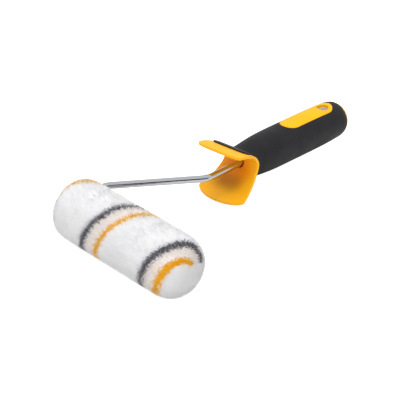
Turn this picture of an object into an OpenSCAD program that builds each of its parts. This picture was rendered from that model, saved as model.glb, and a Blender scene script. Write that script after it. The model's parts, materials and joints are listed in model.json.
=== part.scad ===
// Small paint roller: bent wire frame, soft-grip handle, splash guard and a pull-off closed-end sleeve.
// The roller axis lies along X, the handle along +Y, and the object stands on Z = 0.

/* [Wire frame] */
// Diameter of the steel wire
rod_d = 6; // [5:0.5:8]
// Distance between the handle axis and the middle of the roller, along the roller
handle_offset = 25; // [10:1:35]
// Distance from the roller axis back to the first bend
bend_y = 106.6; // [95:0.1:120]
// Angle of the slanted run away from the handle axis
slant_angle = 35; // [25:1:42]
// Radius of the wire's middle line in the two rear bends
rear_bend_r = 14; // [10:1:20]
// Length of wire held in the handle
anchor_depth = 66; // [40:1:80]

/* [Sleeve] */
// Outer diameter over the pile
pile_d = 52; // [43:1:64]
// Length of the core tube
core_length = 110; // [90:1:150]
// Inner diameter of the core tube
core_id = 15; // [14.6:0.1:19]
// Wall of the core tube
core_wall = 1; // [0.8:0.1:2]
// Thickness of the knitted backing under the pile
backing_t = 0.8; // [0.5:0.1:1.5]
// How far the pile stands out past the open end of the core
open_overhang = 14; // [11:0.5:17]
// How far the pile stands out past the closed end of the core
closed_overhang = 15.5; // [12:0.5:20]
// Corner radius of the pile at the open end
open_corner_r = 11; // [5:0.5:14]
// Corner radius of the pile at the closed end
closed_corner_r = 20; // [12:0.5:23]
// How much wider the mouth in the pile is than the core tube, all round
mouth_gap = 1; // [0.8:0.1:2]

/* [Spindle] */
// Wall of the spindle barrel
spindle_wall = 1.3; // [1:0.1:2]
// Height of each rib on the spindle
rib_h = 0.5; // [0.3:0.1:0.8]
// Number of ribs on the spindle
rib_count = 8; // [4:1:12]
// Length of each bearing bush
bush_length = 9; // [6:0.5:14]

/* [Handle] */
// Length of the grip from the back of the guard to the butt
grip_length = 117.6; // [104:0.1:150]
// Largest radius of the grip
grip_r = 17; // [15.5:0.1:21]
// Radius of the grip at its front face
neck_r = 14.6; // [13:0.1:16]
// Length over which the neck swells to the full grip
neck_length = 34; // [20:1:50]
// Length of the rounded butt
butt_round = 15; // [10:0.5:20]
// Thickness of the coloured cap that closes the butt
butt_cap_t = 7; // [3:0.1:9]
// Thickness of the soft grip
grip_t = 2.4; // [1.6:0.1:3]
// Wall of the core's outer shell round its pockets
core_shell = 2.2; // [1.8:0.1:3]
// Radius of the boss that holds the wire
boss_r = 6; // [5:0.1:8]

/* [Top panel] */
// Width of the coloured panel
panel_w = 16.8; // [13:0.2:20]
// Distance from the butt to the panel's rear tip
panel_tip_gap = 15.6; // [12:0.1:26]
// Length of the panel
panel_length = 57.5; // [40:0.5:70]
// Length of the rounded end of the panel nearer the butt
panel_tip = 9; // [6:0.5:14]
// Length of the rounded end of the panel nearer the guard
panel_nose = 12; // [6:0.5:16]
// How far the panel stands proud of the grip
panel_proud = 0.3; // [0:0.1:0.8]
// Diameter of the hanging hole
hang_d = 10; // [6:0.5:11]
// Distance from the butt to the middle of the hanging hole
hang_gap = 24.1; // [22:0.1:36]

/* [Splash guard] */
// Distance from the roller axis to the guard's hollow face
guard_face = 145; // [136:0.5:150]
// Wall of the guard
guard_t = 2.2; // [1.8:0.1:3]
// Height of the upper lip above the wire
lip_top = 18.3; // [14:0.1:22]
// Depth of the lower lip below the wire
lip_low = 20.4; // [16:0.1:23]
// How far the upper lip reaches forward
reach_top = 25.8; // [18:0.1:32]
// How far the lower lip reaches forward
reach_low = 32.8; // [20:0.1:36]
// Half the width of the upper lip
half_top = 25.2; // [22:0.1:34]
// Half the width of the lower lip
half_low = 27; // [22:0.5:34]
// Half the width of the waist
half_waist = 19.2; // [17.5:0.1:24]
// Height of the waist, measured from the wire
waist_w = 3; // [-8:0.5:4]
// Distance behind the upper lip's front where its outline starts to round
top_round = 6; // [4:0.5:14]
// Distance behind the lower lip's front where its outline starts to round
low_round = 10; // [8:0.5:20]
// Turn of the guard about the handle
guard_roll = 6; // [0:0.5:8]
// Thickness of the soft pad behind the upper lip
pad_t = 1.4; // [1:0.1:2.5]
// How far the soft pad reaches forward on the upper lip
pad_reach = 13; // [6:0.5:18]

/* [Fits] */
// Radial running clearance between a bush and the wire
run_gap = 0.04; // [0.02:0.01:0.1]
// Axial gap between a bush and its washer
end_gap = 0.15; // [0.1:0.05:0.4]
// Radial gap between the spindle and what slides over it
slide_gap = 0.3; // [0.2:0.05:0.4]
// Gap between the wire's arm and the pile
arm_gap = 0.8; // [0.5:0.1:3]
// Gap all round the panel in its pocket
panel_gap = 0.1; // [0.05:0.05:0.3]

/* [Hidden] */
$fn = 96;
eps = 0.01;
rod_r = rod_d / 2;
half_core = core_length / 2;
pile_r = pile_d / 2;
core_ir = core_id / 2;
core_or = core_ir + core_wall;
backing_r = core_or + backing_t;
mouth_r = core_or + mouth_gap;

// Ends of the pile along the roller axis, measured from the middle of the core
pile_open_x = -half_core - open_overhang;
pile_closed_x = half_core + closed_overhang;

// Pieces stacked on the axle, from the bend to the barrel
bend_clear = 1.2;
collar_t = 2;
collar_wall = 2;
washer_t = 1;
washer_wall = 2.6;
flange_t = 1.4;
stop_t = 1.2;
barrel_x = -half_core;
bush_x = barrel_x - flange_t;
washer_x = bush_x - end_gap - washer_t;
collar_x = washer_x - collar_t;
axle_start_x = collar_x - bend_clear;

// Pieces stacked on the axle at its free end, from the closed end of the core inward
plug_t = 2.4;
plug_spigot = 5;
plug_wall = 1.4;
cap_t = 2;
cap_taper = 1;
cap_spigot = 2;
tip_gap = 1;
tip_length = 1.2;
nut_t = 1.6;
nut_rim_t = 0.6;
nut_hub_inset = 1;
barrel_end = half_core - plug_spigot - tip_gap - cap_t;
axle_end = barrel_end - cap_spigot - tip_gap;
nut_x = axle_end - tip_length - nut_t;
outer_washer_x = nut_x - washer_t;
outer_bush_x = outer_washer_x - end_gap - bush_length;

// Radii of the spindle, from the ribs inward
spindle_r = core_ir - slide_gap;
barrel_r = spindle_r - rib_h;
barrel_ir = barrel_r - spindle_wall;
rib_w = 1.6;
rib_end_gap = 3;
inner_gap = 0.4;
inner_r = barrel_ir - inner_gap;

// Wire route, measured from the middle of the core
arm_x = pile_open_x - arm_gap - rod_r;
axle_bend_r = axle_start_x - arm_x;
slant_x = -handle_offset - arm_x;
slant_y = slant_x / tan(slant_angle);
arm_bend_y = bend_y - slant_y;

// Handle stations
grip_front = guard_face + guard_t;
grip_back = grip_front + grip_length;
anchor_end = grip_front + anchor_depth;
hang_y = grip_back - hang_gap;
panel_tip_y = grip_back - panel_tip_gap;
panel_front_y = panel_tip_y - panel_length;

// Place of the frame's origin: the middle of the outline in plan, on the ground
shift_x = -((arm_x - rod_r) + pile_closed_x) / 2;
shift_y = -(grip_back - pile_r) / 2;
shift_z = pile_r;

orange = [0.98, 0.62, 0.05];
black = [0.13, 0.13, 0.15];
steel = [0.78, 0.79, 0.8];
white = [0.93, 0.93, 0.92];
dark = [0.2, 0.2, 0.22];
tan = [0.9, 0.88, 0.82];
cloth = [0.85, 0.83, 0.78];
pile = [0.96, 0.95, 0.93];

// Moves the model from the roller's own axes to the part's frame.
module place() translate([shift_x, shift_y, shift_z]) children();

// Stands a piece along the roller axis, starting at x.
module on_axle(x) translate([x, 0, 0]) rotate([0, 90, 0]) children();

// Stands a piece along the handle axis, starting at y.
module on_handle(y) translate([-handle_offset, y, 0]) rotate([-90, 0, 0]) children();

module ring(outer_r, inner_r, length) {
    difference() {
        cylinder(r = outer_r, h = length);
        translate([0, 0, -1]) cylinder(r = inner_r, h = length + 2);
    }
}

// ---- Wire frame ----

// A straight run of wire from point a to point b in the XY plane. Each end stops just short
// of the bend it meets, inside a hair-thin sleeve that closes the joint.
joint_gap = 0.05;
joint_length = 0.6;
joint_grow = 0.02;
module wire_run(a, b) {
    run = b - a;
    translate([a[0], a[1], 0]) rotate([0, 0, atan2(run[1], run[0])]) rotate([0, 90, 0])
        translate([0, 0, joint_gap]) cylinder(r = rod_r, h = norm(run) - 2 * joint_gap);
}

// A sleeve over the joint at point p, for a wire that runs in the direction angle.
module wire_joint(p, angle) {
    translate([p[0], p[1], 0]) rotate([0, 0, angle]) rotate([0, 90, 0])
        cylinder(r = rod_r + joint_grow, h = joint_length, center = true);
}

// A bend of wire in the XY plane about a centre, from one angle on through another.
module wire_bend(centre, radius, from_angle, angle) {
    translate([centre[0], centre[1], 0]) rotate([0, 0, from_angle])
        rotate_extrude(angle = angle) translate([radius, 0]) circle(r = rod_r);
}

// Points where the straight runs end and the bends begin, from the handle to the roller.
rear_cut = rear_bend_r * tan(slant_angle / 2);
slant_dir = [-sin(slant_angle), -cos(slant_angle)];
handle_end = [-handle_offset, anchor_end];
stem_end = [-handle_offset, bend_y + rear_cut];
slant_from = [-handle_offset, bend_y] + rear_cut * slant_dir;
slant_to = [arm_x, arm_bend_y] - rear_cut * slant_dir;
arm_from = [arm_x, arm_bend_y - rear_cut];
arm_to = [arm_x, axle_bend_r];
axle_from = [axle_start_x, 0];
axle_to = [axle_end, 0];

module frame_rod() {
    color(steel) place() {
        wire_run(handle_end, stem_end);
        wire_joint(stem_end, 90);
        wire_bend(stem_end - [rear_bend_r, 0], rear_bend_r, -slant_angle, slant_angle);
        wire_joint(slant_from, 90 - slant_angle);
        wire_run(slant_from, slant_to);
        wire_joint(slant_to, 90 - slant_angle);
        wire_bend(arm_from + [rear_bend_r, 0], rear_bend_r, 180 - slant_angle, slant_angle);
        wire_joint(arm_from, 90);
        wire_run(arm_from, arm_to);
        wire_joint(arm_to, 90);
        wire_bend([axle_start_x, axle_bend_r], axle_bend_r, 180, 90);
        wire_joint(axle_from, 0);
        wire_run(axle_from, axle_to);
        anchor_ears();
    }
}

// Flattened ears that stop the wire turning in the handle.
ear_w = rod_d + 3;
ear_t = 2.4;
ear_length = 10;
ear_end_gap = 6;
ear_y = anchor_end - ear_length - ear_end_gap;
module anchor_ears() {
    translate([-handle_offset - ear_w / 2, ear_y, -ear_t / 2]) cube([ear_w, ear_length, ear_t]);
}

module stop_collar() {
    color(steel) place() on_axle(collar_x) ring(rod_r + collar_wall, rod_r, collar_t);
}

module inner_washer() {
    color(white) place() on_axle(washer_x) ring(rod_r + washer_wall, rod_r, washer_t);
}

module outer_washer() {
    color(white) place() on_axle(outer_washer_x) ring(inner_r, rod_r, washer_t);
}

// Star-lock push nut: a thin rim and a hub that bites on the wire.
module push_nut() {
    color(steel) place() on_axle(nut_x) difference() {
        union() {
            cylinder(r = inner_r, h = nut_rim_t);
            cylinder(r = inner_r - nut_hub_inset, h = nut_t);
        }
        translate([0, 0, -1]) cylinder(r = rod_r, h = nut_t + 2);
    }
}

// ---- Handle ----

// Radius of the grip's outside at a distance s behind its front face: the neck swells to the
// full grip, the rear half thins slightly, and the butt closes in a soft superellipse.
rear_thin = 2;
rear_start = 0.62;
butt_power = 2.4;
butt_root = 2.2;
function swell(s) = grip_r - (grip_r - neck_r) * pow(max(0, 1 - s / neck_length), 2);
function rear_share(s) = max(0, s / grip_length - rear_start) / (1 - rear_start);
function body_r(s) = swell(s) - rear_thin * pow(rear_share(s), 2);
function butt_share(s) = max(0, s - (grip_length - butt_round)) / butt_round;
function butt_k(s) = pow(max(0, 1 - pow(butt_share(s), butt_power)), 1 / butt_root);
function handle_r(s) = body_r(s) * butt_k(s);

body_steps = 14;
butt_steps = 12;
// Stations along the handle: even on the body, and closing up towards the butt.
stations = concat(
    [for (i = [0 : body_steps - 1]) (grip_length - butt_round) * i / body_steps],
    [for (i = [0 : butt_steps]) grip_length - butt_round + butt_round * sin(90 * i / butt_steps)]);

// Solid of revolution of the handle, made smaller all round by inset.
module handle_solid(inset) {
    scale_y = (grip_length - inset) / grip_length;
    outline = [for (s = stations) [max(0, handle_r(s) - inset * sqrt(butt_k(s))), s * scale_y]];
    on_handle(grip_front)
        rotate_extrude() polygon(concat([[0, 0]], outline));
}

// Plan outline of the top panel, made larger all round by grow: a long oval with straight sides.
module panel_outline(grow) {
    half = panel_w / 2 + grow;
    translate([-handle_offset, 0]) polygon(concat(
        [for (i = [0 : 16]) let (a = 180 * i / 16) [
            half * cos(a), panel_tip_y - panel_tip + (panel_tip + grow) * sin(a)]],
        [for (i = [0 : 16]) let (a = 180 + 180 * i / 16) [
            half * cos(a), panel_front_y + panel_nose + (panel_nose + grow) * sin(a)]]));
}

module panel_column(grow) {
    linear_extrude(height = grip_r + 5) panel_outline(grow);
}

module hang_hole(radius) {
    translate([-handle_offset, hang_y, -grip_r - 5]) cylinder(r = radius, h = 2 * grip_r + 10);
}

// The hard moulding: a boss that holds the wire, joined to the outer shell by ribs, and a
// closed air space between the wire's end and the hanging hole.
pocket_floor = 4;
pocket_depth = anchor_depth - pocket_floor;
pocket_r = neck_r - grip_t - core_shell;
rib_t = 2;
module handle_core() {
    color(white) place() difference() {
        handle_solid(grip_t);
        on_handle(grip_front - 1) cylinder(r = rod_r, h = anchor_depth + 1);
        anchor_ears();
        difference() {
            on_handle(grip_front - 1) ring(pocket_r, boss_r, pocket_depth + 1);
            for (turn = [0, 90])
                on_handle(grip_front - 2) rotate([0, 0, turn])
                    translate([-pocket_r - 1, -rib_t / 2, 0])
                        cube([2 * pocket_r + 2, rib_t, pocket_depth + 3]);
        }
        rear_pocket();
        hang_hole(hang_d / 2);
        butt_end();
    }
}

rear_wall = 4;
module rear_pocket() {
    from_y = anchor_end + rear_wall;
    to_y = hang_y - hang_d / 2 - rear_wall;
    on_handle(from_y)
        cylinder(r = grip_r - grip_t - core_shell - rear_thin, h = max(1, to_y - from_y));
}

// The soft grip, moulded over the core and forward onto the back of the guard.
module grip_sleeve() {
    color(black) place() difference() {
        union() {
            handle_solid(0);
            grip_nose();
        }
        handle_solid(grip_t);
        on_handle(grip_front - nose_reach - 1) cylinder(r = rod_r, h = nose_reach + 2);
        pad_solid();
        panel_column(panel_gap);
        hang_hole(hang_d / 2);
        butt_end();
    }
}

// The front of the grip, which fills the hollow between the guard's curved back and the neck.
nose_reach = 16;
nose_gap = 0.02;
module grip_nose() {
    intersection() {
        on_handle(grip_front - nose_reach) cylinder(r = neck_r, h = nose_reach + eps);
        guard_axes() across(wide_half) polygon(concat(
            [[-nose_reach - 8, 60]], side_curve(guard_t + nose_gap), [[-nose_reach - 8, -60]]));
    }
}

module top_panel() {
    color(orange) place() difference() {
        intersection() {
            handle_solid(-panel_proud);
            panel_column(0);
        }
        handle_solid(grip_t);
        hang_hole(hang_d / 2);
    }
}

// The rear end of the handle, behind the seat of the butt cap.
module butt_end() {
    on_handle(grip_back - butt_cap_t) cylinder(r = grip_r + 1, h = butt_cap_t + 1);
}

module butt_cap() {
    color(orange) place() intersection() {
        handle_solid(0);
        butt_end();
    }
}

// ---- Splash guard ----

curve_steps = 14;
top_power = 1.8;
low_power = 1.5;
// One half of the guard's side profile: a superellipse from the back to the lip.
// Points are [forward, height], for a shell grown outward by t.
function upper_curve(t) = [for (i = [0 : curve_steps]) let (a = 90 * i / curve_steps) [
    -t + (reach_top + t) * (1 - pow(cos(a), 2 / top_power)),
    waist_w + (lip_top - waist_w + t) * pow(sin(a), 2 / top_power)]];
function lower_curve(t) = [for (i = [0 : curve_steps]) let (a = 90 * i / curve_steps) [
    -t + (reach_low + t) * (1 - pow(cos(a), 2 / low_power)),
    waist_w - (lip_low + waist_w + t) * pow(sin(a), 2 / low_power)]];
function backwards(list) = [for (i = [len(list) - 1 : -1 : 0]) list[i]];
function skip_first(list) = [for (i = [1 : len(list) - 1]) list[i]];
function side_curve(t) = concat(backwards(upper_curve(t)), skip_first(lower_curve(t)));

// The side profile as an area between the shells grown by t_in and t_out.
module side_profile(t_in, t_out) {
    polygon(concat(side_curve(t_in), backwards(side_curve(t_out))));
}

// The guard's own axes: X across, Y back along the handle and Z up, from its hollow face.
module guard_axes() {
    translate([-handle_offset, guard_face, 0]) rotate([0, -guard_roll, 0]) children();
}

// Extrudes a side profile across the guard.
module across(half) {
    rotate([90, 0, -90]) translate([0, 0, -half]) linear_extrude(height = 2 * half) children();
}

// Front outline: wide lips and a narrower waist.
function waist_half(w) = w > waist_w
    ? half_waist + (half_top - half_waist) * pow((w - waist_w) / (lip_top - waist_w), 2)
    : half_waist + (half_low - half_waist) * pow((waist_w - w) / (lip_low + waist_w), 2);
outline_steps = 12;
wide_half = 40;
module front_outline(trim) {
    low = -lip_low - guard_t - 2;
    high = lip_top + guard_t + pad_t + 2;
    heights = [for (i = [0 : 2 * outline_steps]) low + (high - low) * i / (2 * outline_steps)];
    polygon(concat(
        [for (w = heights) [waist_half(w) - trim, w]],
        [for (w = backwards(heights)) [-waist_half(w) + trim, w]]));
}

// Plan outline of a lip: straight sides and a rounded front of length nose.
top_front_power = 4;
low_front_power = 1.8;
lip_flare = 0.6;
module lip_outline(half, nose, reach, power) {
    front = [for (i = [0 : 24]) let (a = 180 * i / 24) [
        half * sign(cos(a)) * pow(abs(cos(a)), 2 / power),
        nose - reach - nose * pow(sin(a), 2 / power)]];
    polygon(concat([[half, 8]], front, [[-half, 8]]));
}

// A layer of the guard between the shells grown by t_in and t_out, made narrower by trim.
module guard_shape(t_in, t_out, trim, top_reach) {
    intersection() {
        across(wide_half) side_profile(t_in, t_out);
        translate([0, 10, 0]) rotate([90, 0, 0]) linear_extrude(height = 60) front_outline(trim);
        union() {
            translate([0, 0, waist_w]) linear_extrude(height = 40)
                lip_outline(half_top + lip_flare - trim, top_round, top_reach, top_front_power);
            translate([0, 0, waist_w - 40]) linear_extrude(height = 40)
                lip_outline(half_low + lip_flare - trim, low_round, reach_low, low_front_power);
        }
    }
}

hole_lead = 10;
module front_guard() {
    color(orange) place() difference() {
        guard_axes() guard_shape(0, guard_t, 0, reach_top);
        on_handle(guard_face - hole_lead) cylinder(r = rod_r, h = hole_lead + guard_t + 1);
    }
}

// Soft pad over the rear of the upper lip, down to the grip.
pad_trim = 4;
pad_gap = 0.3;
pad_low = neck_r - grip_t + pad_gap;
module pad_solid() {
    guard_axes() intersection() {
        guard_shape(guard_t, guard_t + pad_t, pad_trim, pad_reach);
        translate([-wide_half, -40, pad_low]) cube([2 * wide_half, 60, 40]);
    }
}

module guard_pad() {
    color(black) place() pad_solid();
}

// ---- Spindle ----

// Barrel with lengthwise ribs that grip the inside of the sleeve.
module spindle_barrel() {
    barrel_length = barrel_end - barrel_x;
    color(white) place() on_axle(barrel_x) difference() {
        union() {
            cylinder(r = barrel_r, h = barrel_length);
            for (i = [0 : rib_count - 1])
                rotate([0, 0, 360 * i / rib_count]) intersection() {
                    translate([0, -rib_w / 2, rib_end_gap])
                        cube([spindle_r + 1, rib_w, barrel_length - 2 * rib_end_gap]);
                    cylinder(r = spindle_r, h = barrel_length);
                }
        }
        translate([0, 0, -1]) cylinder(r = barrel_ir, h = barrel_length + 2);
    }
}

module inner_bush() {
    color(dark) place() on_axle(bush_x) difference() {
        union() {
            cylinder(r = barrel_r, h = flange_t);
            cylinder(r = barrel_ir, h = flange_t + bush_length);
        }
        translate([0, 0, -1]) cylinder(r = rod_r + run_gap, h = flange_t + bush_length + 2);
    }
}

module outer_bush() {
    color(dark) place() on_axle(outer_bush_x) ring(barrel_ir, rod_r + run_gap, bush_length);
}

// Ring on the bush's flange that the end of the core tube seats against.
module sleeve_stop() {
    color(white) place() on_axle(-half_core - end_gap - stop_t) ring(core_or, barrel_r, stop_t);
}

module spindle_cap() {
    color(white) place() on_axle(barrel_end) {
        cylinder(r1 = barrel_r, r2 = barrel_r - cap_taper, h = cap_t);
        translate([0, 0, -cap_spigot]) cylinder(r = barrel_ir, h = cap_spigot + eps);
    }
}

// ---- Sleeve ----

module core_tube() {
    color(tan) place() on_axle(-half_core) ring(core_or, core_ir, core_length);
}

module end_plug() {
    color(white) place() on_axle(half_core) {
        cylinder(r = core_or, h = plug_t);
        translate([0, 0, -plug_spigot]) ring(core_ir, core_ir - plug_wall, plug_spigot + eps);
    }
}

// Knitted backing bonded round the core and the plug.
module fabric_backing() {
    color(cloth) place() on_axle(-half_core) ring(backing_r, core_or, core_length + plug_t);
}

// Corner points of a revolved outline, from one angle round to another.
corner_steps = 10;
function corner(x, r, radius, from_a, to_a) =
    [for (i = [0 : corner_steps]) let (a = from_a + (to_a - from_a) * i / corner_steps) [
        r + radius * sin(a), x + radius * cos(a)]];

// The two pieces of pile meet in a cone that ends at seam_x on the outside.
mouth_lip_r = 3;
seam_gap = 1.5;
open_round = min(open_corner_r, pile_r - mouth_r - mouth_lip_r);
closed_round = min(closed_corner_r, pile_r - 1);
seam_x = pile_closed_x - closed_round - seam_gap;
seam = [[pile_r, seam_x], [backing_r, half_core + plug_t]];

// The pile on the barrel of the sleeve, with a soft rim round the open mouth.
module pile_cover() {
    outline = concat(
        [[backing_r, -half_core], [mouth_r, -half_core]],
        corner(pile_open_x + mouth_lip_r, mouth_r + mouth_lip_r, mouth_lip_r, 270, 180),
        corner(pile_open_x + open_round, pile_r - open_round, open_round, 180, 90),
        seam);
    color(pile) place() rotate([0, 90, 0]) rotate_extrude() polygon(outline);
}

// The pile over the closed end of the sleeve.
module pile_end() {
    outline = concat(
        [[0, half_core + plug_t]],
        backwards(seam),
        corner(pile_closed_x - closed_round, pile_r - closed_round, closed_round, 90, 0),
        [[0, pile_closed_x]]);
    color(pile) place() rotate([0, 90, 0]) rotate_extrude() polygon(outline);
}

frame_rod();
stop_collar();
inner_washer();
outer_washer();
push_nut();
handle_core();
front_guard();
guard_pad();
grip_sleeve();
top_panel();
butt_cap();
spindle_barrel();
inner_bush();
outer_bush();
sleeve_stop();
spindle_cap();
core_tube();
end_plug();
fabric_backing();
pile_cover();
pile_end();
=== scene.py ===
"""A small paint roller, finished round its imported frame.

The frame gives the places: the roller turns about the axis of the joint roller_spin, along X, and the
handle runs along +Y from the splash guard. Sizes are in millimetres in the classes, and in metres in
the meshes.
"""

import json
import logging
import math
from dataclasses import dataclass
from enum import Enum
from typing import Callable, Iterable, Optional

import bmesh
import bpy
import numpy as np
from mathutils import Matrix, Vector, noise


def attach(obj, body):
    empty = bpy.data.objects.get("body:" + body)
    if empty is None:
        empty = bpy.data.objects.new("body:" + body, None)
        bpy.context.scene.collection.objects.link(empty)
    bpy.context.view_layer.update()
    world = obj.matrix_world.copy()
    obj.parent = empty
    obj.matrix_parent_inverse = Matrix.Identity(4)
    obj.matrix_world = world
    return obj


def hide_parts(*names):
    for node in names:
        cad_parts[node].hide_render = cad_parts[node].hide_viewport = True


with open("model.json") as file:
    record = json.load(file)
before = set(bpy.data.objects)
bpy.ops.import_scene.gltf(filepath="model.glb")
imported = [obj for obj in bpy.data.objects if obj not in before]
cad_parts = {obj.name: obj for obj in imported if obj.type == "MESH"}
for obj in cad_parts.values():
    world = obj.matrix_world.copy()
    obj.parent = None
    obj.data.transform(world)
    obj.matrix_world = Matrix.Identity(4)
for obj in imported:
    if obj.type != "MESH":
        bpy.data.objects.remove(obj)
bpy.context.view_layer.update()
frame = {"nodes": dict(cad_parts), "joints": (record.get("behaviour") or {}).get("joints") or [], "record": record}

LOG = logging.getLogger("paint_roller")
MM = 0.001
SEED = 7
SPIN = next(joint for joint in frame["joints"] if joint["name"] == "roller_spin")
AXIS = Vector(SPIN["pos_m"])

Node = bpy.types.Node
Socket = bpy.types.NodeSocket
Tree = bpy.types.NodeTree
Material = bpy.types.Material
Object = bpy.types.Object
Mesh = bmesh.types.BMesh
Triple = tuple[float, float, float]
Colour = tuple[float, float, float, float]
Station = tuple[float, float, float, float]


class Body(Enum):
    """The bodies of the frame that pieces ride on."""

    FRAME = "frame"
    SPINDLE = "spindle"
    SLEEVE = "sleeve"


class Slot(Enum):
    """The record's material slots."""

    WIRE = "chromed_wire"
    ORANGE = "orange_plastic"
    GRIP = "soft_grip"
    WHITE = "white_plastic"
    DARK = "dark_plastic"
    CORE = "core_plastic"
    BACKING = "backing"
    PILE = "pile"


def place(x: float, y: float, z: float) -> Vector:
    """A point in the frame, from millimetres measured from the middle of the roller.

    Args:
        x: Distance along the roller axis.
        y: Distance towards the handle.
        z: Height above the roller axis.

    Returns:
        The point in metres, in the frame's own axes.
    """
    return AXIS + Vector((x, y, z)) * MM


# ---- Mesh helpers ----


def finish_mesh(bm: Mesh, name: str, body: Body, smooth: bool = True) -> Object:
    """Turns a bmesh, already in its place, into a piece that rides on a body.

    Args:
        bm: The mesh, in metres. It is freed.
        name: The piece's name.
        body: The body that carries it.
        smooth: Whether the faces are shaded smooth.

    Returns:
        The new object.
    """
    mesh = bpy.data.meshes.new(name)
    bm.to_mesh(mesh)
    bm.free()
    for polygon in mesh.polygons:
        polygon.use_smooth = smooth
    piece = bpy.data.objects.new(name, mesh)
    bpy.context.scene.collection.objects.link(piece)
    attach(piece, body.value)
    LOG.info("%s: %d faces", name, len(mesh.polygons))
    return piece


def bake(piece: Object) -> None:
    """Applies all of a piece's modifiers to its mesh.

    Args:
        piece: The object to settle.
    """
    graph = bpy.context.evaluated_depsgraph_get()
    settled = bpy.data.meshes.new_from_object(piece.evaluated_get(graph))
    piece.modifiers.clear()
    piece.data = settled
    for polygon in settled.polygons:
        polygon.use_smooth = True


def cut(piece: Object, tool: Mesh) -> None:
    """Cuts a closed tool shape out of a piece.

    Args:
        piece: The object that is cut.
        tool: The closed shape to take away, in metres. It is freed.
    """
    mesh = bpy.data.meshes.new("cutter")
    bmesh.ops.recalc_face_normals(tool, faces=tool.faces)
    tool.to_mesh(mesh)
    tool.free()
    cutter = bpy.data.objects.new("cutter", mesh)
    bpy.context.scene.collection.objects.link(cutter)
    step = piece.modifiers.new("cut", "BOOLEAN")
    step.object = cutter
    step.solver = "EXACT"
    bake(piece)
    bpy.data.objects.remove(cutter)


def soften(piece: Object, width: float, segments: int = 3, angle: float = 35.0) -> None:
    """Rounds the sharp edges of a piece and keeps the broad faces flat in shade.

    Args:
        piece: The object to soften.
        width: Width of the rounding in millimetres.
        segments: Steps across the rounding.
        angle: Edges sharper than this many degrees are rounded.
    """
    bevel = piece.modifiers.new("soft edges", "BEVEL")
    bevel.width = width * MM
    bevel.segments = segments
    bevel.limit_method = "ANGLE"
    bevel.angle_limit = math.radians(angle)
    bevel.harden_normals = True
    bake(piece)


def revolve(bm: Mesh, outline: Iterable[Vector], centre: Vector, axis: Vector, steps: int) -> None:
    """Spins an open outline through a full turn and closes the seam.

    Args:
        bm: The bmesh that receives the surface.
        outline: The points of the outline, in metres.
        centre: A point on the axis.
        axis: The direction of the axis.
        steps: Faces round the axis.
    """
    verts = [bm.verts.new(point) for point in outline]
    edges = [bm.edges.new(pair) for pair in zip(verts, verts[1:])]
    bmesh.ops.spin(
        bm,
        geom=verts + edges,
        cent=centre,
        axis=axis,
        angle=2 * math.pi,
        steps=steps,
        use_merge=True,
    )
    bmesh.ops.remove_doubles(bm, verts=bm.verts, dist=1e-6)
    bmesh.ops.recalc_face_normals(bm, faces=bm.faces)


def thicken(piece: Object, wall: float) -> None:
    """Gives a sheet its wall, half of it to each side.

    Args:
        piece: The sheet.
        wall: The wall's thickness in millimetres.
    """
    solid = piece.modifiers.new("wall", "SOLIDIFY")
    solid.thickness = wall * MM
    solid.offset = 0.0
    bake(piece)


def run_length(curve: np.ndarray) -> np.ndarray:
    """Length from the start of a curve to each of its points.

    Args:
        curve: One row a point, with two columns.

    Returns:
        The lengths, in the curve's own unit.
    """
    return np.concatenate([[0.0], np.cumsum(np.hypot(*np.diff(curve, axis=0).T))])


# ---- Node helpers ----


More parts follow.
